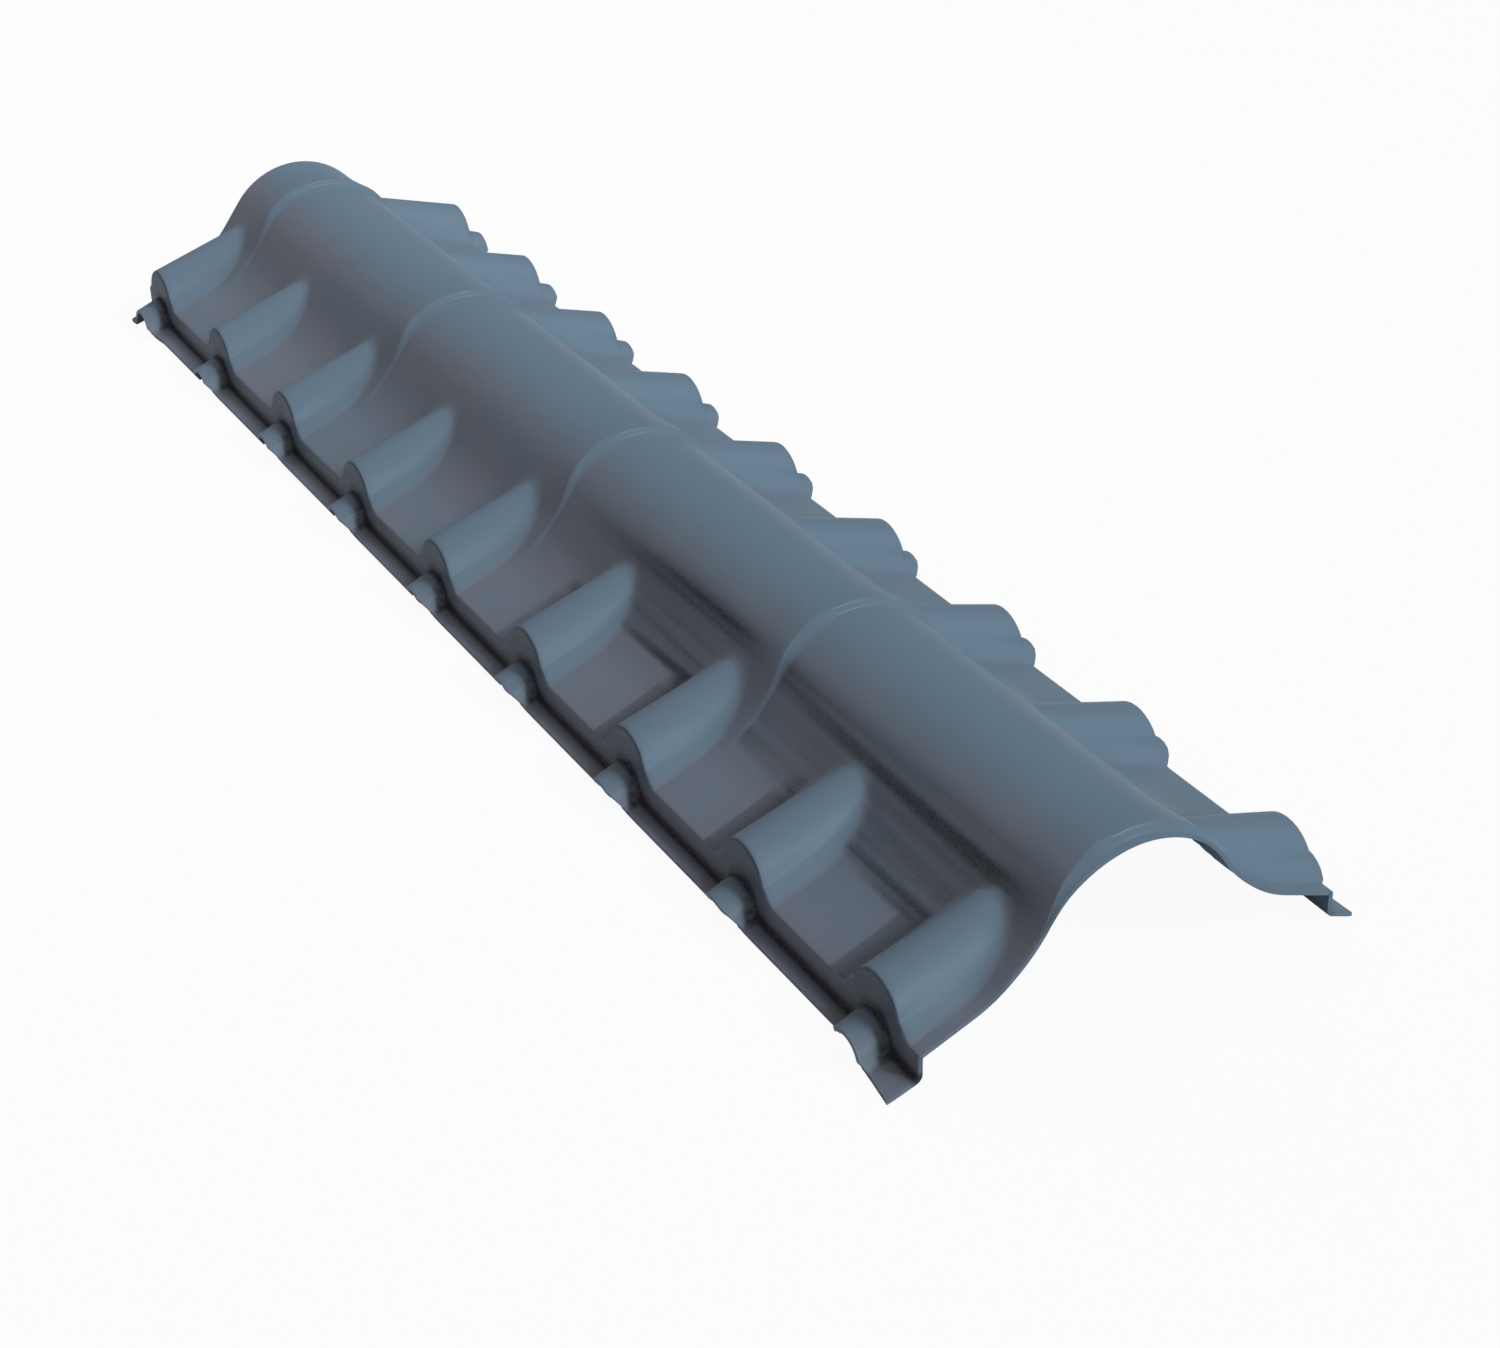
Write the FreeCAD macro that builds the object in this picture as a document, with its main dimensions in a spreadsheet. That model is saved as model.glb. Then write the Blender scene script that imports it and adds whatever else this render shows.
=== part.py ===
"""Roof ridge cap: one thin moulded sheet that covers the ridge above wave-profiled roof sheets.

The cap runs along X. A barrel-shaped hump runs down its middle, a wing slopes down on each side,
and every wing carries a row of half-round waves that sit over the waves of the roof sheet below.
Each wing ends in an upright lip, and a narrow sloped skirt with a low wave under each big one.
Raised collars cross the hump at every second wave, like the mouths of overlapping ridge tiles.

Lengths are in millimetres and angles in degrees. The origin is the middle of the footprint,
on the plane that the skirt's four corners rest on. +X is the length, +Y the width, +Z is up.
The half with positive Y is built as outer forms less the same forms set in by the wall, and then
mirrored, because the cap is the same on both sides of its ridge line.
"""
import FreeCAD, Part
import enum
import math
import os

import Sketcher

doc = FreeCAD.newDocument("RidgeCap")

SIZES = {
    # wall of the moulded sheet
    "wall": 2.4,
    # waves along the cap, and the plain land past the first and the last of them
    "wave_pitch": 120.0,
    "wave_count": 9,
    "far_land": 4.2,
    "near_land": 16.2,
    # hump and wing, as one section across the cap
    "ridge_height": 93.3,
    "hump_radius": 55.1,
    "flank_slope": 52.0,
    "wing_slope": 21.0,
    "flare_share": 0.937,
    "lip_width": 117.6,
    "lip_top": 20.3,
    # skirt outside the lip
    "skirt_reach": 16.4,
    "skirt_slope": 18.0,
    # big waves across the wings, whose crests aim at a point below the top of the ridge
    "wave_radius": 19.8,
    "wave_lift": 2.5,
    "crest_drop": 14.8,
    # low waves across the skirt
    "low_wave_radius": 14.0,
    "low_wave_lift": 1.4,
    "low_wave_slope": 21.0,
    # skirt edge, which is set back between its waves and flares out at its corners
    "set_back": 7.5,
    "set_back_land": 4.0,
    # collars across the hump, one past every second wave
    "collar_lag": 25.0,
    "collar_gap": 5.0,
    "collar_rise": 1.9,
    "collar_radius": 64.5,
    "collar_slope": 60.0,
    "collar_step": 8.0,
}

sheet = doc.addObject("Spreadsheet::Sheet", "Sizes")
for row, (alias, value) in enumerate(SIZES.items(), start=1):
    sheet.set(f"A{row}", alias)
    sheet.set(f"B{row}", str(value))
    sheet.setAlias(f"B{row}", alias)
doc.recompute()


def size(alias):
    """The value that the sheet holds under this alias."""
    return float(getattr(sheet, alias))


def angle(alias):
    """An angle in the sheet, in radians."""
    return math.radians(size(alias))


# The forms reach this far past the sheet, so that cuts run clean through it
CLEAR = 10.0


def origin_plane(body, role):
    """One of the body's own origin planes."""
    return next(plane for plane in body.Origin.OriginFeatures if plane.Role == role)


def add_sketch(body, name, role):
    """An empty sketch on one of the body's origin planes."""
    sketch = body.newObject("Sketcher::SketchObject", name)
    sketch.AttachmentSupport = (origin_plane(body, role), [""])
    sketch.MapMode = "FlatFace"
    return sketch


def offset_sketch(sketch, axis, formula):
    """Moves a sketch off its plane by a formula of sheet sizes, along one of its own axes."""
    sketch.setExpression(f".AttachmentOffset.Base.{axis}", formula)


def bind(sketch, kind, where, value, formula):
    """Adds one dimension to a sketch and ties it to a formula of sheet sizes."""
    index = sketch.addConstraint(Sketcher.Constraint(kind, *where, value))
    sketch.setExpression(f"Constraints[{index}]", formula)


def line(start, end):
    """A straight edge of a sketch."""
    return Part.LineSegment(FreeCAD.Vector(*start, 0), FreeCAD.Vector(*end, 0))


def arc(centre, radius, first, last):
    """An arc of a sketch, counter-clockwise between two angles in radians."""
    circle = Part.Circle(FreeCAD.Vector(*centre, 0), FreeCAD.Vector(0, 0, 1), radius)
    return Part.ArcOfCircle(circle, first, last)


class Point(enum.IntEnum):
    """The points of a sketch's edge."""
    START = enum.auto()
    END = enum.auto()
    CENTRE = enum.auto()


START, END, CENTRE = Point
# A sketch's own vertical axis and origin, which is the start of its horizontal axis
VERTICAL_AXIS, ORIGIN = range(-2, 0)


def join(sketch, pairs):
    """Makes pairs of edge ends meet."""
    for first, first_end, second, second_end in pairs:
        sketch.addConstraint(Sketcher.Constraint("Coincident", first, first_end, second, second_end))


FLANK = "Sizes.flank_slope * 1 deg"
WING = "Sizes.wing_slope * 1 deg"
SKIRT = "Sizes.skirt_slope * 1 deg"
COLLAR = "Sizes.collar_slope * 1 deg"

# Places along the cap
CAP_LENGTH = ("(Sizes.far_land + Sizes.near_land + 2 * Sizes.wave_radius"
              " + (Sizes.wave_count - 1) * Sizes.wave_pitch)")
FAR_END = f"-{CAP_LENGTH} / 2"
FIRST_WAVE = f"{FAR_END} + Sizes.far_land + Sizes.wave_radius"
LAST_WAVE = f"-({FAR_END}) - Sizes.near_land - Sizes.wave_radius"

# The flank runs from the hump's arc to where it would meet the wing, and the wing from there to the lip
FLANK_START = f"Sizes.hump_radius * sin({FLANK})"
FLANK_DROP = (f"(Sizes.ridge_height - Sizes.hump_radius * (1 - cos({FLANK})) - Sizes.lip_top"
              f" - (Sizes.lip_width - {FLANK_START}) * tan({WING}))")
FLANK_RUN = f"({FLANK_DROP} / (sin({FLANK}) - cos({FLANK}) * tan({WING})))"
WING_RUN = f"((Sizes.lip_width - {FLANK_START} - {FLANK_RUN} * cos({FLANK})) / cos({WING}))"
# The flare's tangents are a share of the flank's run times the wing's run over their sum
FLARE_RADIUS = (f"Sizes.flare_share * {FLANK_RUN} * {WING_RUN} / ({FLANK_RUN} + {WING_RUN})"
                f" / tan(({FLANK} - {WING}) / 2)")

SKIRT_WIDTH = "(Sizes.lip_width + Sizes.skirt_reach)"
LIP_FOOT = f"(Sizes.skirt_reach * tan({SKIRT}) + Sizes.wall / cos({SKIRT}))"
# Rise of a big wave's crest over its run from the lip to the ridge line
CREST_RISE = ("(Sizes.ridge_height - Sizes.crest_drop - Sizes.lip_top - Sizes.wave_lift"
              " - Sizes.wave_radius) / Sizes.lip_width")


def flare_radius():
    """Starting value of the flare's radius, by the same rule as its formula."""
    flank, wing = angle("flank_slope"), angle("wing_slope")
    radius, width = size("hump_radius"), size("lip_width")
    start = radius * math.sin(flank)
    drop = size("ridge_height") - radius * (1 - math.cos(flank)) - size("lip_top")
    drop -= (width - start) * math.tan(wing)
    flank_run = drop / (math.sin(flank) - math.cos(flank) * math.tan(wing))
    wing_run = (width - start - flank_run * math.cos(flank)) / math.cos(wing)
    tangent = size("flare_share") * flank_run * wing_run / (flank_run + wing_run)
    return tangent / math.tan((flank - wing) / 2)


def lip_foot():
    """Height of the lip's foot, from which the skirt slopes down to the floor."""
    skirt = angle("skirt_slope")
    return size("skirt_reach") * math.tan(skirt) + size("wall") / math.cos(skirt)


def draw_section(sketch, inset):
    """Half the section across the cap, closed below the floor, set in by the wall if inset is 1."""
    wall, past = inset * size("wall"), inset * CLEAR
    flank, wing, skirt = angle("flank_slope"), angle("wing_slope"), angle("skirt_slope")
    radius, flare = size("hump_radius") - wall, flare_radius() + wall
    top, lip = size("ridge_height") - wall, size("lip_width") - wall
    lip_top = size("lip_top") + wall * math.tan(wing) - wall / math.cos(wing)
    foot = lip_foot() + wall * math.tan(skirt) - wall / math.cos(skirt)
    edge = size("lip_width") + size("skirt_reach") + past
    edge_height = foot - (edge - lip) * math.tan(skirt)
    floor = -CLEAR - past

    # the flank line and the wing line both touch the flare's circle from below
    hump_centre = (0, top - radius)
    hump_end = (radius * math.sin(flank), hump_centre[1] + radius * math.cos(flank))
    flank_offset = radius + flare + hump_centre[1] * math.cos(flank)
    wing_offset = flare + lip_top * math.cos(wing) + lip * math.sin(wing)
    spread = math.sin(flank - wing)
    flare_centre = (
        (flank_offset * math.cos(wing) - wing_offset * math.cos(flank)) / spread,
        (wing_offset * math.sin(flank) - flank_offset * math.sin(wing)) / spread,
    )
    flank_end = (flare_centre[0] - flare * math.sin(flank), flare_centre[1] - flare * math.cos(flank))
    wing_start = (flare_centre[0] - flare * math.sin(wing), flare_centre[1] - flare * math.cos(wing))

    down = 1.5 * math.pi
    sketch.addGeometry([
        arc(hump_centre, radius, 0.5 * math.pi - flank, 0.5 * math.pi),
        line(hump_end, flank_end),
        arc(flare_centre, flare, down - flank, down - wing),
        line(wing_start, (lip, lip_top)),
        line((lip, lip_top), (lip, foot)),
        line((lip, foot), (edge, edge_height)),
        line((edge, edge_height), (edge, floor)),
        line((edge, floor), (0, floor)),
        line((0, floor), (0, top)),
    ], False)
    join(sketch, [(3, END, 4, START), (4, END, 5, START), (5, END, 6, START), (6, END, 7, START),
                  (7, END, 8, START), (8, END, 0, END)])
    for first, first_end, second, second_end in [(0, START, 1, START), (1, END, 2, START),
                                                 (2, END, 3, START)]:
        sketch.addConstraint(Sketcher.Constraint("Tangent", first, first_end, second, second_end))
    for upright in (4, 6, 8):
        sketch.addConstraint(Sketcher.Constraint("Vertical", upright))
    sketch.addConstraint(Sketcher.Constraint("Horizontal", 7))
    sketch.addConstraint(Sketcher.Constraint("PointOnObject", 0, CENTRE, VERTICAL_AXIS))
    sketch.addConstraint(Sketcher.Constraint("PointOnObject", 8, END, VERTICAL_AXIS))

    inset_wall = f"{inset} * Sizes.wall"
    bind(sketch, "Radius", (0,), radius, f"Sizes.hump_radius - {inset_wall}")
    bind(sketch, "Radius", (2,), flare, f"{FLARE_RADIUS} + {inset_wall}")
    bind(sketch, "DistanceY", (ORIGIN, START, 8, END), top, f"Sizes.ridge_height - {inset_wall}")
    bind(sketch, "DistanceX", (ORIGIN, START, 3, END), lip, f"Sizes.lip_width - {inset_wall}")
    bind(sketch, "DistanceY", (ORIGIN, START, 3, END), lip_top,
         f"Sizes.lip_top + {inset_wall} * (tan({WING}) - 1 / cos({WING}))")
    bind(sketch, "DistanceY", (ORIGIN, START, 4, END), foot,
         f"{LIP_FOOT} + {inset_wall} * (tan({SKIRT}) - 1 / cos({SKIRT}))")
    bind(sketch, "Angle", (1,), -flank, f"-{FLANK}")
    bind(sketch, "Angle", (3,), -wing, f"-{WING}")
    bind(sketch, "DistanceX", (ORIGIN, START, 5, END), edge, f"{SKIRT_WIDTH} + {past}")
    bind(sketch, "Angle", (5,), -skirt, f"-{SKIRT}")
    sketch.addConstraint(Sketcher.Constraint("DistanceY", 6, END, ORIGIN, START, -floor))


def draw_collar(sketch, radius, top, flank, formulas):
    """Half a collar section: an arc and the flank that touches it, run down inside to the lip's level."""
    foot = size("lip_top")
    centre = top - radius
    arc_end = (radius * math.sin(flank), centre + radius * math.cos(flank))
    foot_end = (arc_end[0] + (arc_end[1] - foot) / math.tan(flank), foot)
    sketch.addGeometry([
        arc((0, centre), radius, 0.5 * math.pi - flank, 0.5 * math.pi),
        line(arc_end, foot_end),
        line(foot_end, (0, foot)),
        line((0, foot), (0, top)),
    ], False)
    join(sketch, [(1, END, 2, START), (2, END, 3, START), (3, END, 0, END)])
    sketch.addConstraint(Sketcher.Constraint("Tangent", 0, START, 1, START))
    sketch.addConstraint(Sketcher.Constraint("Horizontal", 2))
    sketch.addConstraint(Sketcher.Constraint("Vertical", 3))
    sketch.addConstraint(Sketcher.Constraint("PointOnObject", 0, CENTRE, VERTICAL_AXIS))
    sketch.addConstraint(Sketcher.Constraint("PointOnObject", 3, END, VERTICAL_AXIS))
    bind(sketch, "Radius", (0,), radius, formulas["radius"])
    bind(sketch, "DistanceY", (ORIGIN, START, 3, END), top, formulas["top"])
    bind(sketch, "Angle", (1,), -flank, f"-{formulas['slope']}")
    bind(sketch, "DistanceY", (ORIGIN, START, 3, START), foot, "Sizes.lip_top")


def draw_wave(sketch, alias, inset, centre, centre_formula):
    """The half-round section of a wave, with straight sides that run down below the floor."""
    radius = size(f"{alias}_radius") - inset * size("wall")
    floor = -CLEAR - inset * CLEAR
    sketch.addGeometry([
        arc((0, centre), radius, 0, math.pi),
        line((-radius, centre), (-radius, floor)),
        line((-radius, floor), (radius, floor)),
        line((radius, floor), (radius, centre)),
    ], False)
    join(sketch, [(1, END, 2, START), (2, END, 3, START)])
    sketch.addConstraint(Sketcher.Constraint("Tangent", 0, END, 1, START))
    sketch.addConstraint(Sketcher.Constraint("Tangent", 3, END, 0, START))
    sketch.addConstraint(Sketcher.Constraint("Vertical", 1))
    sketch.addConstraint(Sketcher.Constraint("Horizontal", 2))
    sketch.addConstraint(Sketcher.Constraint("PointOnObject", 0, CENTRE, VERTICAL_AXIS))
    bind(sketch, "Radius", (0,), radius, f"Sizes.{alias}_radius - {inset} * Sizes.wall")
    bind(sketch, "DistanceY", (ORIGIN, START, 0, CENTRE), centre, centre_formula)
    sketch.addConstraint(Sketcher.Constraint("DistanceY", 1, END, ORIGIN, START, -floor))


def repeat(body, feature, name, count, spacing):
    """A row of copies of a feature along the cap, spaced by a formula of sheet sizes."""
    pattern = body.newObject("PartDesign::LinearPattern", name)
    pattern.Originals = [feature]
    pattern.Direction = (origin_plane(body, "X_Axis"), [""])
    pattern.Mode = "Spacing"
    pattern.setExpression("Occurrences", count)
    pattern.setExpression("Offset", spacing)
    body.Tip = pattern
    doc.recompute()


def add_section(body, inset):
    """The hump, wing, lip and skirt as one section run along the whole cap."""
    sketch = add_sketch(body, f"{body.Name}Section", "YZ_Plane")
    offset_sketch(sketch, "z", f"{FAR_END} - {inset * CLEAR}")
    draw_section(sketch, inset)
    pad = body.newObject("PartDesign::Pad", f"{body.Name}Run")
    pad.Profile = sketch
    pad.setExpression("Length", f"{CAP_LENGTH} + {2 * inset * CLEAR}")
    doc.recompute()


def add_collars(body, inset):
    """A collar that flares up to its mouth and steps back down to the hump, then its row."""
    plain = {"radius": f"Sizes.hump_radius - {inset} * Sizes.wall",
             "top": f"Sizes.ridge_height - {inset} * Sizes.wall", "slope": FLANK}
    mouth = {"radius": f"Sizes.collar_radius - {inset} * Sizes.wall",
             "top": f"Sizes.ridge_height + Sizes.collar_rise - {inset} * Sizes.wall", "slope": COLLAR}
    mouth_place = f"{FIRST_WAVE} + Sizes.collar_lag"
    stations = [
        (plain, f"{FAR_END} + Sizes.collar_gap"),
        (mouth, mouth_place),
        (plain, f"{mouth_place} + Sizes.collar_step"),
    ]
    sketches = []
    for number, (formulas, place) in enumerate(stations, start=1):
        sketch = add_sketch(body, f"{body.Name}Collar{number}", "YZ_Plane")
        offset_sketch(sketch, "z", place)
        radius = size("collar_radius" if formulas is mouth else "hump_radius") - inset * size("wall")
        rise = size("collar_rise") if formulas is mouth else 0.0
        slope = angle("collar_slope" if formulas is mouth else "flank_slope")
        draw_collar(sketch, radius, size("ridge_height") + rise - inset * size("wall"), slope, formulas)
        sketches.append(sketch)
    loft = body.newObject("PartDesign::AdditiveLoft", f"{body.Name}Collar")
    loft.Profile = sketches[0]
    loft.Sections = sketches[1:]
    loft.Ruled = True
    doc.recompute()
    repeat(body, loft, f"{body.Name}CollarRow", "floor((Sizes.wave_count + 1) / 2)", "2 * Sizes.wave_pitch")


def add_waves(body, name, alias, inset, outward, reach, fall, centre, centre_formula):
    """One half-round wave that leaves the lip, in or outward, over a reach and with a fall per reach."""
    sketch = add_sketch(body, f"{body.Name}{name}Section", "XZ_Plane")
    offset_sketch(sketch, "x", FIRST_WAVE)
    offset_sketch(sketch, "y", f"{inset} * Sizes.wall * {fall}")
    offset_sketch(sketch, "z", f"{inset} * Sizes.wall - Sizes.lip_width")
    draw_wave(sketch, alias, inset, centre, centre_formula)
    pad = body.newObject("PartDesign::Pad", f"{body.Name}{name}")
    pad.Profile = sketch
    pad.UseCustomVector = True
    pad.AlongSketchNormal = False
    pad.Direction = FreeCAD.Vector(0, outward, 0)
    pad.setExpression("Direction.z", f"{-outward} * {fall}")
    pad.setExpression("Length", f"({reach}) * sqrt(1 + ({fall}) ^ 2)")
    doc.recompute()
    repeat(body, pad, f"{body.Name}{name}Row", "Sizes.wave_count", "Sizes.wave_pitch")


def add_set_backs(body):
    """Takes the skirt's edge back between each two low waves."""
    sketch = add_sketch(body, "SetBackPlan", "XY_Plane")
    offset_sketch(sketch, "x", f"{FIRST_WAVE} + Sizes.wave_pitch / 2")
    half = size("wave_pitch") / 2 - size("low_wave_radius") - size("set_back_land")
    inner = size("lip_width") + size("skirt_reach") - size("set_back")
    outer = inner + size("set_back") + CLEAR
    corners = [(-half, inner), (half, inner), (half, outer), (-half, outer)]
    sketch.addGeometry([line(corners[i], corners[(i + 1) % 4]) for i in range(4)], False)
    join(sketch, [(i, END, (i + 1) % 4, START) for i in range(4)])
    sketch.addConstraint(Sketcher.Constraint("Horizontal", 2))
    for upright in (1, 3):
        sketch.addConstraint(Sketcher.Constraint("Vertical", upright))
    sketch.addConstraint(Sketcher.Constraint("Symmetric", 0, START, 0, END, VERTICAL_AXIS))
    bind(sketch, "DistanceX", (0, START, 0, END), 2 * half,
         "Sizes.wave_pitch - 2 * (Sizes.low_wave_radius + Sizes.set_back_land)")
    bind(sketch, "DistanceY", (ORIGIN, START, 0, START), inner, f"{SKIRT_WIDTH} - Sizes.set_back")
    bind(sketch, "DistanceY", (0, END, 1, END), outer - inner, f"Sizes.set_back + {CLEAR}")
    pocket = cut_down(body, sketch, "SetBack")
    repeat(body, pocket, "SetBackRow", "Sizes.wave_count - 1", "Sizes.wave_pitch")


def add_corner(body, name, wave_place, land, side):
    """Takes the skirt back beside an end wave, on a slant that runs out to the full width at the end."""
    sketch = add_sketch(body, f"{name}Plan", "XY_Plane")
    offset_sketch(sketch, "x", wave_place)
    start = size("low_wave_radius") + size("set_back_land")
    run, depth = 2 * (size(land) + size("wave_radius") - start), 2 * size("set_back")
    inner = size("lip_width") + size("skirt_reach") - size("set_back")
    corners = [(side * start, inner), (side * (start + run), inner + depth), (side * start, inner + depth)]
    sketch.addGeometry([line(corners[i], corners[(i + 1) % 3]) for i in range(3)], False)
    join(sketch, [(i, END, (i + 1) % 3, START) for i in range(3)])
    sketch.addConstraint(Sketcher.Constraint("Horizontal", 1))
    sketch.addConstraint(Sketcher.Constraint("Vertical", 2))
    from_wave, along = (ORIGIN, START, 0, START), (0, START, 0, END)
    if side < 0:
        from_wave, along = (0, START, ORIGIN, START), (0, END, 0, START)
    bind(sketch, "DistanceX", from_wave, start, "Sizes.low_wave_radius + Sizes.set_back_land")
    bind(sketch, "DistanceX", along, run,
         f"2 * (Sizes.{land} + Sizes.wave_radius - Sizes.low_wave_radius - Sizes.set_back_land)")
    bind(sketch, "DistanceY", (ORIGIN, START, 0, START), inner, f"{SKIRT_WIDTH} - Sizes.set_back")
    bind(sketch, "DistanceY", (0, START, 0, END), depth, "2 * Sizes.set_back")
    cut_down(body, sketch, name)


def cut_down(body, sketch, name):
    """A pocket of a plan sketch, through the whole height of a body."""
    pocket = body.newObject("PartDesign::Pocket", name)
    pocket.Profile = sketch
    pocket.Type = "ThroughAll"
    pocket.Midplane = True
    body.Tip = pocket
    doc.recompute()
    return pocket


def make_form(name, inset):
    """One closed form of half the cap: its top surface when inset is 0, its underside when 1."""
    body = doc.addObject("PartDesign::Body", name)
    doc.recompute()
    add_section(body, inset)
    add_collars(body, inset)
    wave_centre = size("lip_top") + size("wave_lift")
    add_waves(body, "Wave", "wave", inset, -1, f"Sizes.lip_width - {inset} * Sizes.wall", CREST_RISE,
              wave_centre, "Sizes.lip_top + Sizes.wave_lift")
    low_wave_centre = lip_foot() + size("low_wave_lift")
    add_waves(body, "LowWave", "low_wave", inset, 1,
              f"Sizes.skirt_reach + {inset} * (Sizes.wall + {CLEAR})",
              "tan(Sizes.low_wave_slope * 1 deg)", low_wave_centre, f"{LIP_FOOT} + Sizes.low_wave_lift")
    return body


def make_cap():
    """The outer form less the inner form, mirrored about the ridge line and joined as one sheet."""
    outer = make_form("Outer", 0)
    add_set_backs(outer)
    add_corner(outer, "FarCorner", FIRST_WAVE, "far_land", -1)
    add_corner(outer, "NearCorner", LAST_WAVE, "near_land", 1)
    inner = make_form("Inner", 1)
    half = doc.addObject("Part::Cut", "HalfCap")
    half.Base = outer
    half.Tool = inner
    other_half = doc.addObject("Part::Mirroring", "OtherHalf")
    other_half.Source = half
    other_half.Normal = FreeCAD.Vector(0, 1, 0)
    cap = doc.addObject("Part::MultiFuse", "RidgeCapSheet")
    cap.Shapes = [half, other_half]
    cap.Refine = True
    cap.Label = "ridge_cap"
    cap.Placement = FreeCAD.Placement()
    doc.recompute()
    return cap


def check(document, nodes):
    """Stops if any object failed, or if a node is not valid solid matter."""
    for thing in document.Objects:
        if "Invalid" in thing.State or "Error" in thing.State:
            raise RuntimeError(f"{thing.Name} did not build")
    for node in nodes:
        if node.Shape.isNull() or not node.Shape.isValid() or len(node.Shape.Solids) != 1:
            raise RuntimeError(f"{node.Label} is not one valid solid")


cap = make_cap()
check(doc, [cap])
os.makedirs("parts", exist_ok=True)
cap.Shape.exportStep(f"parts/{cap.Label}.step")
box = cap.Shape.BoundBox
print(f"{cap.Label}: {box.XLength:.1f} x {box.YLength:.1f} x {box.ZLength:.1f} mm,"
      f" {cap.Shape.Volume / 1000:.1f} cm3, {len(cap.Shape.Faces)} faces")
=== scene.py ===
"""Roof ridge cap: one thin moulded plastic sheet with a barrel hump, cross waves and a waved skirt.

The file is laid out as an add-on with a panel of sizes and colours. Run as a script, it builds the
sheet, its finish, the floor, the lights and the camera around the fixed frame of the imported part.
Lengths are in metres. +X runs along the ridge, +Y across it and +Z up, with the floor at zero.
"""

import math

import bpy
import numpy as np
from mathutils import Euler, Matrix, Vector


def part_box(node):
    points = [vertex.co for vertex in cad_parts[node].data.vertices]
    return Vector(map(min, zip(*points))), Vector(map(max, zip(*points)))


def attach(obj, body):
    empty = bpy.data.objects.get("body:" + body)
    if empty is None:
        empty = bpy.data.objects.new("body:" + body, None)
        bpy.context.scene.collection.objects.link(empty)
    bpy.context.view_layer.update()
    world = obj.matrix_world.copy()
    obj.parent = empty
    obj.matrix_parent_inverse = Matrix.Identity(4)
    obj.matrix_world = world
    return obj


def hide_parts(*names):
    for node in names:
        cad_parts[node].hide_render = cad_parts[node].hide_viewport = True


bl_info = {
    "name": "Roof ridge cap",
    "version": (1, 0, 0),
    "blender": (4, 5, 0),
    "location": "3D View > Sidebar > Ridge cap",
    "description": "A moulded roof ridge cap, its plastic and its studio",
    "category": "Object",
}

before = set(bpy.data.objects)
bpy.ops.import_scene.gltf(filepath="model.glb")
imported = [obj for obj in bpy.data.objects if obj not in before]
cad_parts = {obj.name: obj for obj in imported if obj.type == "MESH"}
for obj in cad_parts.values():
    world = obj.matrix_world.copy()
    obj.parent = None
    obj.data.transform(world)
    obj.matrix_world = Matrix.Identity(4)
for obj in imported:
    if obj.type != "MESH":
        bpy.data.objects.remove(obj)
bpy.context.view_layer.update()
NODE = "ridge_cap"
LOW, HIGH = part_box(NODE)
MM = 0.001


def length(name, about, default):
    """A size in metres that the panel shows in the scene's own unit."""
    return bpy.props.FloatProperty(name=name, description=about, default=default, min=0.0, precision=5,
                                   unit="LENGTH")


def slope(name, about, degrees):
    """An angle that the panel shows in degrees."""
    return bpy.props.FloatProperty(name=name, description=about, default=math.radians(degrees),
                                   subtype="ANGLE")


def paint(name, about, code):
    """A colour of the panel, from a hex code."""
    return bpy.props.FloatVectorProperty(name=name, description=about, default=linear(code),
                                         subtype="COLOR", size=3, min=0.0, max=1.0)


def linear(code):
    """Three linear values of an sRGB hex code, by the sRGB curve."""
    values = [int(code[i:i + 2], 16) / 255 for i in (1, 3, 5)]
    return tuple(v / 12.92 if v <= 0.04045 else ((v + 0.055) / 1.055) ** 2.4 for v in values)


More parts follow.
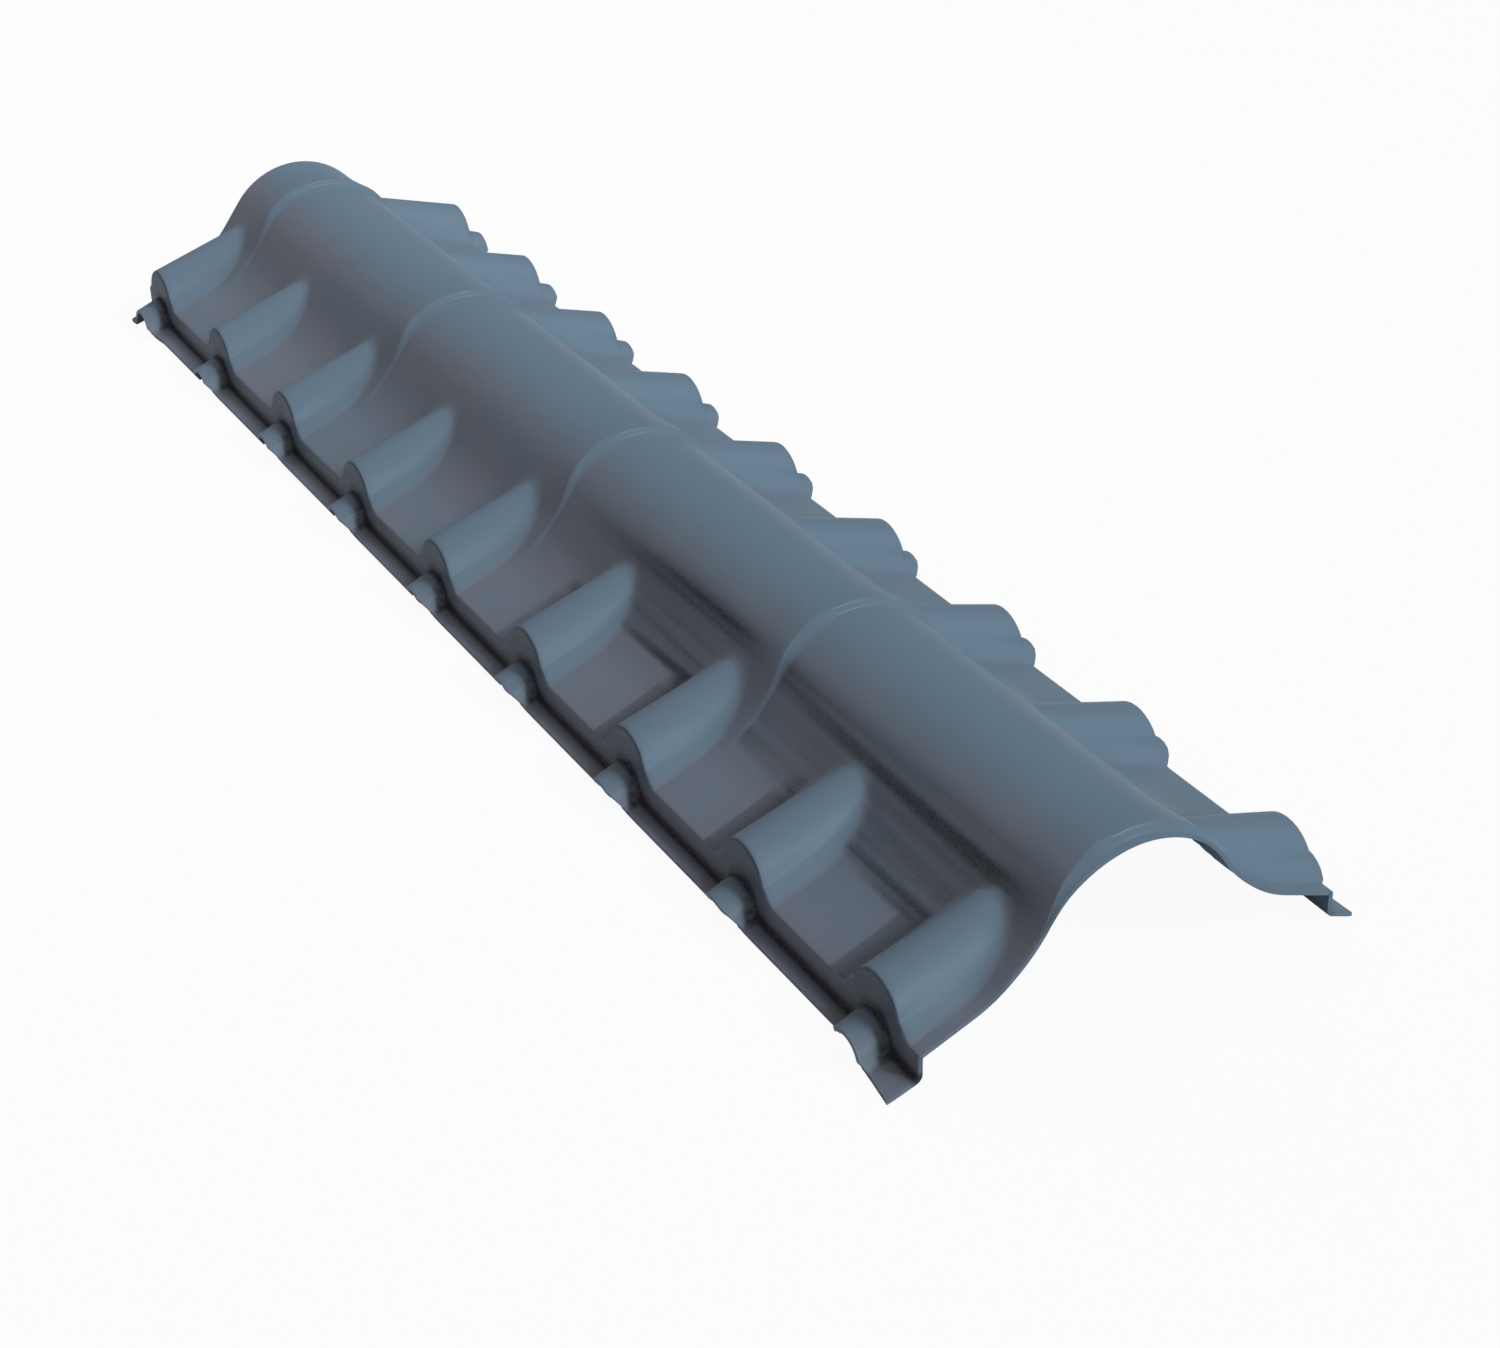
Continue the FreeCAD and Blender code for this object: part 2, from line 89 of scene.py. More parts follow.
class CapSizes(bpy.types.PropertyGroup):
    """Sizes of the moulded sheet."""
    wall: length("Wall", "Thickness of the sheet", 2.4 * MM)
    wave_pitch: length("Wave pitch", "Distance from one wave to the next", 120 * MM)
    wave_count: bpy.props.IntProperty(name="Waves", description="Waves along each wing", default=9, min=2)
    far_margin: length("Far margin", "Far end to the middle of the first wave", 24 * MM)
    ridge_height: length("Ridge height", "Top of the hump above the floor", 93.3 * MM)
    hump_radius: length("Hump radius", "Radius over the top of the hump", 55.1 * MM)
    flank_slope: slope("Flank slope", "Slope of the hump's straight flank", 52)
    flare_radius: length("Flare radius", "Radius of the hollow between flank and wing", 78.4 * MM)
    wing_slope: slope("Wing slope", "Slope of the wing", 21)
    lip_width: length("Lip width", "Ridge line to the face of the lip", 117.6 * MM)
    lip_top: length("Lip top", "Height of the wing's edge at the lip", 20.3 * MM)
    lip_bend: length("Lip bend", "Radius of the bend over the lip", 1.8 * MM)
    foot_bend: length("Foot bend", "Radius of the bend from the lip into the skirt", 2.2 * MM)
    wave_radius: length("Wave radius", "Radius of the big waves", 19.8 * MM)
    wave_lift: length("Wave lift", "Centre of a wave above the lip's top", 2.5 * MM)
    wave_slope: slope("Wave slope", "Slope of a wave's crest", 17)
    wave_fillet: length("Wave fillet", "Radius where a wave meets the wing", 10 * MM)
    skirt_width: length("Skirt width", "Ridge line to a corner of the skirt", HIGH.y)
    skirt_slope: slope("Skirt slope", "Slope of the skirt", 18)
    low_wave_radius: length("Low wave radius", "Radius of the waves on the skirt", 14 * MM)
    low_wave_lift: length("Low wave lift", "Centre of a low wave above the lip's foot", 1.4 * MM)
    low_wave_slope: slope("Low wave slope", "Slope of a low wave's crest", 21)
    low_wave_fillet: length("Low wave fillet", "Radius where a low wave meets the skirt", 3 * MM)
    set_back: length("Set-back", "How far the skirt's edge stands back between its waves", 7.5 * MM)
    edge_lean: slope("Edge lean", "Lean of the plane that trims the skirt's edge", 29)
    far_spread: length("Far spread", "How much wider the skirt is at its far end", 3 * MM)
    corner_run: length("Corner run", "Length over which the skirt flares out at each end", 56 * MM)
    collar_lag: length("Collar lag", "Middle of a wave to the mouth of its collar", 25 * MM)
    collar_flare: length("Collar flare", "Length over which a collar opens", 44 * MM)
    collar_edge: length("Collar edge", "How far the mouth's edge stands past its place on top", 3 * MM)
    collar_riser: length("Collar riser", "Length over which a collar steps down at its top", 4.4 * MM)
    collar_foot: length("Collar foot", "Mouth of a collar to the foot of its step, on the flank", 12.5 * MM)
    collar_low_riser: length("Collar low riser", "Length of the step on the flare", 3 * MM)
    collar_slant: length("Collar slant", "How far the mouth's edge slants down the flank", 9.5 * MM)
    collar_step: length("Collar step", "Height of the step on the flare", 1.2 * MM)
    collar_rise: length("Collar rise", "Step at the top of a collar", 1.9 * MM)
    collar_radius: length("Collar radius", "Radius over the top of a collar's mouth", 64.5 * MM)
    collar_slope: slope("Collar slope", "Slope of a collar's flank at its mouth", 60)


class CapColours(bpy.types.PropertyGroup):
    """Colours of the plastic and its studio."""
    plastic: paint("Plastic", "Blue-grey of the moulded plastic", "#677D8F")
    # Painted shade tint: the greyer hue of faces turned from the keys, laid on flanks and wings in random
    # clouds
    shade_tint: paint("Dull", "The plastic where it lies low and is a little duller", "#747B88")
    # Painted shade: near black, laid in the hollows, creases, along the lip and in strips where shade falls
    painted_shade: paint("Hollow", "The same plastic, dulled in its tight hollows", "#24262B")
    floor: paint("Floor", "Pale floor", "#CDD2D7")


# A collar's mouth: how far before its place its edge starts, how far from the ridge line its slant
# starts, and how far it slants along the cap for each length across it
MOUTH_LEAD = 3 * MM
SLANT_START = 5 * MM
SLANT_RATE = 0.28
# The step across the top has two crisp creases with a ramp between them. These are each crease's share
# of the step's run, each crease's share of its height, and the ramp's share of its height
CREASE_RUN = 0.08
CREASE_DROP = 0.34
RAMP_DROP = 0.32
# How far from the ridge line the step's foot reaches its place on the flank, and the share of the fall
# that is straight further down
FOOT_WIDTH = 20 * MM
STRAIGHT_SHARE = 0.8
# The power of the slow rise before a mouth, and the blend between a collar and the flank
OPENING_POWER = 1.6
COLLAR_BLEND = 1.2 * MM

# Smooth changes across the cap: the distance from the ridge line where each starts, and its run
FLANK_STARTS = (5 * MM, 14 * MM)
FALL_STRAIGHTENS = (18 * MM, 16 * MM)
COLLAR_DIES = (36 * MM, 19 * MM)
STEP_STARTS = (34 * MM, 14 * MM)
STEP_ENDS = (64 * MM, 18 * MM)
SLANT_ENDS = (86 * MM, 24 * MM)
ROWS_LEAVE_TOP = (8 * MM, 12 * MM)

# The rows slant about this place past a mouth, and straighten away from it
ROWS_MIDDLE = 5 * MM
ROWS_STRAIGHTEN = (8 * MM, 24 * MM)

# Waves: the power of their foot, the blend where a crest dies away, and the least width of a foot
FOOT_POWER = 1.25
CREST_BLEND = 3 * MM
LEAST_FOOT = 0.01 * MM
# A dent and a curl in the skirt past each low wave: height, middle and width along, middle and width out
DENT = (-1.8 * MM, 13 * MM, 4 * MM, 4 * MM, 2.6 * MM)
CURL = (1.1 * MM, 18 * MM, 2.4 * MM, 5 * MM, 3 * MM)
# Share of its reach that the skirt lacks at one near corner
CORNER_TRIM = 0.2

# Grid rows: how many over a wave's side, where beside a low wave and in a wave's foot as shares of their
# fillets, how many over the pan, and where at the strip before a wave and round a collar's mouth
WAVE_ROWS = 9
LOW_ROWS = (-1.2, -0.3, 0.15, 0.6)
FOOT_ROWS = (0.1, 0.25, 0.42, 0.62, 0.82)
PAN_ROWS = 3
STRIP_ROWS = (-39.6 * MM, -41.1 * MM)
MOUTH_ROWS = MM * np.array([-7, -3.5, -0.1, 0.1, 0.3, 0.6, 1.2, 2, 2.8, 3.4, 3.8, 4.1, 4.3, 4.6, 5.4, 6.6, 8,
                            9.6, 11, 12, 13.4])
# Least distance of a row from the ends, and from the next row
END_ROOM = 0.5 * MM
LEAST_ROW = 0.12 * MM
# Grid columns: over the hump's top, down to the lip, round its bend, down its face, round its foot and
# over the skirt
TOP_COLUMNS = 13
WING_COLUMNS = 24
BEND_COLUMNS = 5
FACE_COLUMNS = 3
FOOT_COLUMNS = 4
SKIRT_COLUMNS = 5
# Width over which a slope is measured
NUDGE = 0.5 * MM


def soft_step(t):
    """Smooth rise from 0 to 1 as t goes from 0 to 1: 3t^2 - 2t^3."""
    t = np.clip(t, 0, 1)
    return t * t * (3 - 2 * t)


def rise(value, start, run):
    """Smooth rise from 0 to 1 as a value goes from its start to one run past it."""
    return soft_step((value - start) / run)


def bell(value, middle, width):
    """A bump of height 1 about a middle: exp(-((v - m) / w)^2)."""
    return np.exp(-((value - middle) / width) ** 2)


def soft_ramp(u, blend):
    """Zero far below, u far above, and the parabola (u + k)^2 / 4k between -k and k."""
    return np.where(u > blend, u, np.clip(u + blend, 0, None) ** 2 / (4 * blend))


def past_nearest(x, places):
    """Distance past the nearest of some places along the cap, negative before it."""
    back = x[..., None] - places
    return np.take_along_axis(back, np.abs(back).argmin(axis=-1)[..., None], axis=-1)[..., 0]


def wave_centres(s):
    """Places of the waves along the cap."""
    return LOW.x + s.far_margin + s.wave_pitch * np.arange(s.wave_count)


def arch(distance, centre, radius, fillet):
    """Height of a footed wave over its base. At the distance d it is the arc c + sqrt(r^2 - d^2) as far as
    M, where its height is m, and then the foot m ((D - d) / (D - M))^p, which reaches the base at D. M and
    D are where an arc of the fillet's radius would touch the wave and the base."""
    lift = np.clip(fillet - centre, None, radius + fillet)
    reach = np.sqrt((radius + fillet) ** 2 - lift ** 2)
    meet = reach * radius / (radius + fillet)
    crown = centre + np.sqrt(np.clip(radius ** 2 - distance ** 2, 0, None))
    top = centre + np.sqrt(np.clip(radius ** 2 - meet ** 2, 0, None))
    foot = top * np.clip((reach - distance) / np.maximum(reach - meet, LEAST_FOOT), 0, 1) ** FOOT_POWER
    return np.where(distance < meet, crown, foot)


def mouths(s):
    """Places of the collars' mouths along the cap, one past every second wave."""
    return wave_centres(s)[::2] + s.collar_lag


def mouth_slant(s, y):
    """How far a mouth's edge on the flank stands off its place along the cap: a straight slant from a
    little before it to well past it, which dies away down the wing."""
    y = np.abs(y)
    line = np.clip(SLANT_RATE * (y - SLANT_START) - MOUTH_LEAD, -MOUTH_LEAD, s.collar_slant)
    return line * (1 - rise(y, *SLANT_ENDS))


def opening(s, back):
    """The slow rise of a collar before its mouth: (1 + b / flare)^p, with b the distance past it."""
    return np.clip(1 + back / s.collar_flare, 0, 1) ** OPENING_POWER


def collar_share(s, x, y):
    """How far a collar has opened: a slow rise to its mouth, then a step down. Across the top the step
    has a crisp edge, a ramp and a crisp foot. On the flank it is one fall from the slanting edge to the
    foot, soft at first and straight further down. The two are mixed by the distance from the ridge."""
    y = np.abs(y)[..., None]
    past = x[..., None] - mouths(s)
    back = past - s.collar_edge
    along = back / s.collar_riser
    creases = soft_step(along / CREASE_RUN), rise(along, 1 - CREASE_RUN, CREASE_RUN)
    crisp = 1 - CREASE_DROP * creases[0] - RAMP_DROP * np.clip(along, 0, 1) - CREASE_DROP * creases[1]
    top = np.where(back < 0, opening(s, back), crisp)
    slant = mouth_slant(s, y)
    back = past - slant
    top_foot = s.collar_edge + s.collar_riser
    foot = top_foot + (s.collar_foot - top_foot) * soft_step(y / FOOT_WIDTH)
    along = np.clip(back / np.maximum(foot - slant, s.collar_low_riser), 0, 1)
    straight = STRAIGHT_SHARE * rise(y, *FALL_STRAIGHTENS)
    fall = 1 - soft_step(along) - straight * (along - soft_step(along))
    flank = np.where(back < 0, opening(s, back), fall)
    share = top + (flank - top) * rise(y, *FLANK_STARTS)
    return share.max(axis=-1)


def collar_height(s, y, plain):
    """How far an open collar stands over the plain section: its larger hump, which dies away down the
    flank, and a low step that goes on down the flare."""
    larger = hump(y, s.collar_radius, s.ridge_height + s.collar_rise, s.collar_slope)
    over = soft_ramp(larger - plain, COLLAR_BLEND) * (1 - rise(y, *COLLAR_DIES))
    return over + s.collar_step * rise(y, *STEP_STARTS) * (1 - rise(y, *STEP_ENDS))


def hump(y, radius, top, flank):
    """Height of a round hump: the arc t - r + sqrt(r^2 - y^2), then the line that touches it."""
    over = top - radius + np.sqrt(np.clip(radius ** 2 - y ** 2, 0, None))
    line = top - radius + radius / np.cos(flank) - y * np.tan(flank)
    return np.where(y < radius * np.sin(flank), over, line)


def section_height(s, y, share):
    """Height of the hump, flank, flare and wing over y: arcs and the lines that touch them, with the
    collar laid over them by its share."""
    y = np.abs(y)
    flank, wing = s.flank_slope, s.wing_slope
    # the flare's centre stands its radius away from the flank's line and from the wing's
    across = s.hump_radius + s.flare_radius + (s.ridge_height - s.hump_radius) * math.cos(flank)
    along = s.flare_radius + s.lip_top * math.cos(wing) + s.lip_width * math.sin(wing)
    spread = math.sin(flank - wing)
    centre_y = (across * math.cos(wing) - along * math.cos(flank)) / spread
    centre_z = (along * math.sin(flank) - across * math.sin(wing)) / spread
    first, last = (centre_y - s.flare_radius * math.sin(a) for a in (flank, wing))
    flare = centre_z - np.sqrt(np.clip(s.flare_radius ** 2 - (y - centre_y) ** 2, 0, None))
    straight = s.lip_top + (s.lip_width - y) * math.tan(wing)
    plain = np.where(y < last, flare, straight)
    plain = np.where(y < first, hump(y, s.hump_radius, s.ridge_height, flank), plain)
    return plain + share * collar_height(s, y, plain)


def top_height(s, x, y):
    """Height of the cap's top between its lips: the section, with a wave's arch standing on it. The
    arch's centre falls along a line to the lip, and the arch ends where its crest meets the section."""
    base = section_height(s, y, collar_share(s, x, y))
    centre = s.lip_top + s.wave_lift + (s.lip_width - np.abs(y)) * math.tan(s.wave_slope) - base
    centre = soft_ramp(centre + s.wave_radius, CREST_BLEND) - s.wave_radius
    distance = np.abs(past_nearest(x, wave_centres(s)))
    return base + arch(distance, centre, s.wave_radius, s.wave_fillet)


def skirt_foot(s):
    """Height of the lip's foot, from which the skirt falls to its corners on the floor."""
    return (s.skirt_width - s.lip_width) * math.tan(s.skirt_slope) + s.wall / math.cos(s.skirt_slope)


def skirt_height(s, x, y):
    """Height of the skirt outside the lip: a plane that falls to the corners, with its low waves, and
    past each of them a dent and a curl, each a bump along the cap times a bump across it."""
    out = np.abs(y) - s.lip_width
    base = skirt_foot(s) - out * math.tan(s.skirt_slope)
    centre = skirt_foot(s) + s.low_wave_lift - out * math.tan(s.low_wave_slope) - base
    past = past_nearest(x, wave_centres(s))
    for height, middle, run, middle_out, width in (DENT, CURL):
        base = base + height * bell(past, middle, run) * bell(out, middle_out, width)
    return base + arch(np.abs(past), centre, s.low_wave_radius, s.low_wave_fillet)


def skirt_edge(s, x):
    """Distance from the ridge line to the skirt's edge. It is trimmed on a leaning plane, so that a
    low wave's crest reaches further out, and it spreads by u^2 to the far end and out to each corner."""
    far = s.far_spread * ((HIGH.x - x) / (HIGH.x - LOW.x)) ** 2
    to_end = np.minimum(x - LOW.x, HIGH.x - x)
    corner = (s.set_back - far) * np.clip(1 - to_end / s.corner_run, 0, 1)
    plain = s.skirt_width - s.set_back + far + corner
    fall = (plain - s.lip_width) * math.tan(s.skirt_slope)
    lift = skirt_height(s, x, plain) - skirt_foot(s) + fall
    return np.minimum(plain + lift * math.tan(s.edge_lean), s.skirt_width)


# Painted shade along the cap: the place where each change starts and its run, or its middle and width
FLARE_DARKENS = (10 * MM, 130 * MM)
LINE_MOVES_OUT = (260 * MM, 230 * MM)
LINE_SWELLS = (190 * MM, 70 * MM)
BAND_DARKENS = (260 * MM, 180 * MM)
BAND_SWELLS = (180 * MM, 50 * MM)
STRIP_DARKENS = (-60 * MM, 240 * MM)
# Painted shade, its streaks and the painted shade tint across it, by the distance from the ridge line
BAND_STARTS = (30 * MM, 12 * MM)
STRIP_STARTS = (58 * MM, 14 * MM)
STRIP_WIDENS = (64 * MM, 16 * MM)
STREAKS_START = (30 * MM, 8 * MM)
STREAKS_END = (72 * MM, 8 * MM)
TINT_STARTS = (8 * MM, 30 * MM)
RISER_ENDS = (42 * MM, 14 * MM)
# Painted shade and tint by the height over the plain section, by that over the skirt, and by the side of the
# ridge line that faces the light
ON_WAVE = (0.0, 2.4 * MM)
UP_WAVE = (2 * MM, 4 * MM)
CLEAR_WAVE = (0.0, 2.2 * MM)
OFF_SKIRT = (0.0, 4 * MM)
LIT_SIDE = (-10 * MM, 20 * MM)

# The line of painted shade along the flare: its place across and how far it moves out, its width and how
# much it swells, and its tone
LINE_MIDDLE = 45 * MM
LINE_SHIFT = 4.5 * MM
LINE_WIDTH = 3.4 * MM
LINE_SWELL = 2.4 * MM
LINE_TONE = 0.5
# The even band of painted shade along the flare: its tone, and what it gains towards the near end and in its
# swell
BAND_TONE = 0.1
BAND_GAIN = 0.12
BAND_SWELL = 0.1
# The band's outer edge: its distance from the ridge line at one place along the cap, that place, how
# fast it moves out from there, and its blur
EDGE_PLACE = 64.5 * MM
EDGE_FROM = 60 * MM
EDGE_RATE = 0.034
EDGE_BLUR = 2 * MM
# The darker outer part of the band: its tone and how much that swings from bay to bay, the place along
# the cap of a dark bay, how far inside the band's edge it starts, and the run of its start
BAY_TONE = 0.24
BAY_SWING = 0.2
BAY_DARKEST = 190 * MM
BAY_INSIDE = 11.2 * MM
BAY_RUN = 4 * MM
# The painted shadow in the strip before each wave: where it starts and ends before the wave's middle, how
# much narrower it is at the flare, the blur of its two sides, and its tone
STRIP_START = 40.5 * MM
STRIP_END = 27 * MM
STRIP_TAPER = 5 * MM
STRIP_EDGE = 1.4 * MM
STRIP_BLUR = 4 * MM
STRIP_TONE = 0.5
# The lip's painted shade: how far inside its face it starts, how far outside it it starts to fade, the run
# of that, its tone, and what it gains in the foot's crease. The painted shade in the pocket past each low
# wave has a middle and a width along and across
FACE_INSIDE = 0.4 * MM
FACE_END = 1.2 * MM
FACE_BLUR = 3 * MM
FACE_TONE = 0.16
FOOT_TONE = 0.8
POCKET_ALONG = (13 * MM, 4 * MM)
POCKET_ACROSS = (121.5 * MM, 3 * MM)
# The thin line of painted shade along the lip's edge: how far inside the lip it lies, its width, its tone
# and what it gains on a wave, and where the painted shade of the top gives way to the lip's
RIM_INSIDE = 0.4 * MM
RIM_WIDTH = 0.6 * MM
RIM_TONE = 0.3
RIM_GAIN = 0.35
TOP_ENDS = 1 * MM
# Shares of the painted shade and of the painted shade tint that the lit side lacks, the share of the tint
# that a wave lacks, and the most that anything lacks
LIT_SIDE_DARK = 0.7
LIT_SIDE_TINT = 0.65
WAVE_CLEAR = 0.85
MOST_CLEAR = 0.9


def flare_tone(s, x, y):
    """Painted shade along the flare, which starts near the middle of the cap: a line that swells and moves
    out, and a band whose outer part is darker, most in every second bay, by a cosine."""
    middle = LINE_MIDDLE + LINE_SHIFT * rise(x, *LINE_MOVES_OUT)
    width = LINE_WIDTH + LINE_SWELL * bell(x, *LINE_SWELLS)
    edge = EDGE_PLACE + EDGE_RATE * (x - EDGE_FROM)
    band = BAND_TONE + BAND_GAIN * rise(x, *BAND_DARKENS) + BAND_SWELL * bell(x, *BAND_SWELLS)
    bay = BAY_TONE + BAY_SWING * np.cos(math.pi * (x - BAY_DARKEST) / s.wave_pitch)
    band = band * rise(y, *BAND_STARTS) + bay * rise(y, edge - BAY_INSIDE, BAY_RUN)
    line = LINE_TONE * bell(y, middle, width)
    return (line + band * (1 - rise(y, edge, EDGE_BLUR))) * rise(x, *FLARE_DARKENS)


def strip_tone(x, y, past):
    """Painted shadow in the narrow strip before each wave, towards the near end: crisp on its outer side and
    soft under the wave."""
    start = STRIP_START - STRIP_TAPER * (1 - rise(y, *STRIP_WIDENS))
    strip = rise(past, -start, STRIP_EDGE) * (1 - rise(past, -STRIP_END, STRIP_BLUR))
    return STRIP_TONE * rise(x, *STRIP_DARKENS) * strip * rise(y, *STRIP_STARTS)


def lip_tone(s, x, y, z, past):
    """Painted shade on the lip's face, which is darkest along its foot's crease, and in a pocket past each
    low wave.
    """
    start = rise(y, s.lip_width - FACE_INSIDE, FACE_INSIDE)
    face = start * (1 - rise(y, s.lip_width + FACE_END, FACE_BLUR))
    low = 1 - rise(z - skirt_height(s, x, y), *OFF_SKIRT)
    pocket = bell(past, *POCKET_ALONG) * bell(y, *POCKET_ACROSS)
    return np.maximum(face * (FACE_TONE + FOOT_TONE * low), pocket)


def over_plain(s, points):
    """Height of each point over the plain section, and how far a collar has opened there."""
    y = np.abs(points[..., 1])
    share = collar_share(s, points[..., 0], y)
    return points[..., 2] - section_height(s, y, share), share


def painted_shade_share(s, points):
    """How much painted shade each point of the grid carries, from 0 to 1: the flare's painted shade off
    waves and collars, the painted shadow in the strip before each wave, the lip's painted shade, and a thin
    line of painted shade along the lip's edge that is darker on a wave. All are weaker on the side that
    faces the light."""
    x, y, z = points[..., 0], np.abs(points[..., 1]), points[..., 2]
    above, share = over_plain(s, points)
    past = past_nearest(x, wave_centres(s))
    flare = flare_tone(s, x, y) * (1 - rise(above, *ON_WAVE)) * (1 - share)
    top = np.maximum(flare, strip_tone(x, y, past))
    tone = np.where(y < s.lip_width - TOP_ENDS, top, lip_tone(s, x, y, z, past))
    rim = (RIM_TONE + RIM_GAIN * rise(above, *UP_WAVE)) * bell(y, s.lip_width - RIM_INSIDE, RIM_WIDTH)
    return np.clip(tone + rim, 0, 1) * (1 - LIT_SIDE_DARK * rise(points[..., 1], *LIT_SIDE))


def shade_streak_share(s, points):
    """Where the painted shade is broken into streaks, from 0 to 1: along the flare, off waves and collars.
    """
    y = np.abs(points[..., 1])
    above, share = over_plain(s, points)
    band = rise(y, *STREAKS_START) * (1 - rise(y, *STREAKS_END))
    return band * (1 - rise(above, *ON_WAVE)) * (1 - share)


def shade_tint_share(s, points):
    """How much painted shade tint each point carries, from 0 over the hump's top to 1 on flanks and wings.
    Waves carry less, and so do the lit steps of the collars, by 4 c (1 - c) for a share c, and the side that
    faces the light."""
    x, y = points[..., 0], np.abs(points[..., 1])
    above, share = over_plain(s, points)
    past = past_nearest(x - mouth_slant(s, y), mouths(s))
    riser = 4 * share * (1 - share) * (past > 0) * (1 - rise(y, *RISER_ENDS))
    clear = np.clip(np.maximum(WAVE_CLEAR * rise(above, *CLEAR_WAVE), riser), 0, MOST_CLEAR)
    return rise(y, *TINT_STARTS) * (1 - LIT_SIDE_TINT * rise(points[..., 1], *LIT_SIDE)) * (1 - clear)


def along_stations(s):
    """Places along the cap for the grid's rows: close together on wave sides and feet, at the strips
    before the waves and on collar steps, with those that are nearly the same left out."""
    wave = s.wave_radius * np.sin(np.radians(np.linspace(0, 90, WAVE_ROWS)))
    low = s.low_wave_radius + s.low_wave_fillet * np.array(LOW_ROWS)
    foot = s.wave_radius + s.wave_fillet * np.array(FOOT_ROWS)
    foot_end = s.wave_radius + s.wave_fillet
    pan = np.linspace(foot_end, s.wave_pitch / 2, PAN_ROWS)
    half = np.concatenate([wave, low, foot])
    around = np.concatenate([-half, half, pan, [-foot_end], STRIP_ROWS])
    waves = (wave_centres(s)[:, None] + around).ravel()
    collars = (mouths(s)[:, None] + MOUTH_ROWS).ravel()
    inside = np.unique(np.round(np.concatenate([waves, collars]), 5))
    inside = inside[(inside > LOW.x + END_ROOM) & (inside < HIGH.x - END_ROOM)]
    inside = inside[np.concatenate([[True], np.diff(inside) > LEAST_ROW])]
    return np.concatenate([[LOW.x], inside, [HIGH.x]])


def cross_sections(s, x):
    """Grids of x, y and z for half a cross-section at every place along the cap: the top, the bend over
    the lip as an arc, its straight face, the arc of its foot, and the skirt. Near a collar the rows slant
    with its mouth, so that its edge runs along a row."""
    column = x[:, None]
    flank_y = s.hump_radius * math.sin(s.flank_slope)
    top = np.concatenate([np.linspace(0, flank_y, TOP_COLUMNS)[:-1],
                          np.linspace(flank_y, s.lip_width - 2 * s.lip_bend, WING_COLUMNS)])
    top = np.broadcast_to(top, (x.size, top.size))
    off = np.abs(column - mouths(s) - ROWS_MIDDLE).min(axis=1, keepdims=True)
    on_top = 1 - rise(top, *ROWS_LEAVE_TOP)
    slant = mouth_slant(s, top) * (1 - on_top) + s.collar_edge * on_top
    slant = slant * (1 - rise(off, *ROWS_STRAIGHTEN))
    place = column + slant * np.clip((HIGH.x - column) / (HIGH.x - mouths(s)[-1]), 0, 1)
    heights = top_height(s, place, top)

    lip = np.full_like(x, s.lip_width)
    fall = (top_height(s, x, lip - NUDGE) - top_height(s, x, lip)) / NUDGE
    turn = (math.pi / 2 - np.arctan(fall))[:, None]
    cut = s.lip_bend * np.tan(turn / 2)
    share = np.linspace(1, 0, BEND_COLUMNS)
    bend_y = s.lip_width - s.lip_bend + s.lip_bend * np.cos(turn * share)
    bend_z = top_height(s, x, lip)[:, None] - cut + s.lip_bend * np.sin(turn * share)

    slope_out = (skirt_height(s, x, lip) - skirt_height(s, x, lip + NUDGE)) / NUDGE
    turn = (math.pi / 2 - np.arctan(slope_out))[:, None]
    cut = s.foot_bend * np.tan(turn / 2)
    share = np.linspace(0, 1, FOOT_COLUMNS)
    foot_y = s.lip_width + s.foot_bend - s.foot_bend * np.cos(turn * share)
    foot_z = skirt_height(s, x, lip)[:, None] + cut - s.foot_bend * np.sin(turn * share)

    down = np.linspace(0, 1, FACE_COLUMNS + 2)[1:-1]
    face_y = np.full((x.size, down.size), s.lip_width)
    face_z = bend_z[:, -1:] + (foot_z[:, :1] - bend_z[:, -1:]) * down

    out = np.linspace(0, 1, SKIRT_COLUMNS + 1)[1:]
    skirt_y = foot_y[:, -1:] + (skirt_edge(s, x)[:, None] - foot_y[:, -1:]) * out
    skirt_z = skirt_height(s, np.broadcast_to(column, skirt_y.shape), skirt_y)
    y = np.hstack([top, bend_y, face_y, foot_y, skirt_y])
    z = np.hstack([heights, bend_z, face_z, foot_z, skirt_z])
    return np.hstack([place, np.broadcast_to(column, (x.size, y.shape[1] - top.shape[1]))]), y, z


def sheet_grid(s):
    """The top surface as a grid of points: half sections mirrored about the ridge line, with the skirt a
    little narrower at one near corner."""
    half = np.stack(cross_sections(s, along_stations(s)), axis=-1)
    grid = np.hstack([half[:, :0:-1] * (1, -1, 1), half])
    out = np.clip(grid[..., 1] - s.lip_width - s.foot_bend, 0, None)
    grid[..., 1] -= CORNER_TRIM * out * rise(grid[..., 0], HIGH.x - s.corner_run, s.corner_run)
    return grid


def grid_normals(points):
    """Unit normals of a grid: the cross product of its two central differences."""
    normal = np.cross(np.gradient(points, axis=0), np.gradient(points, axis=1))
    return normal / np.linalg.norm(normal, axis=-1, keepdims=True)


def grid_faces(rows, columns, first=0):
    """Corner numbers of a grid's quads."""
    corner = first + np.arange((rows - 1) * columns).reshape(rows - 1, columns)[:, :-1]
    return np.stack([corner, corner + columns, corner + columns + 1, corner + 1], axis=-1).reshape(-1, 4)


def strip_faces(outer, inner):
    """Quads between two rows of corner numbers."""
    return np.stack([outer[:-1], outer[1:], inner[1:], inner[:-1]], axis=-1)


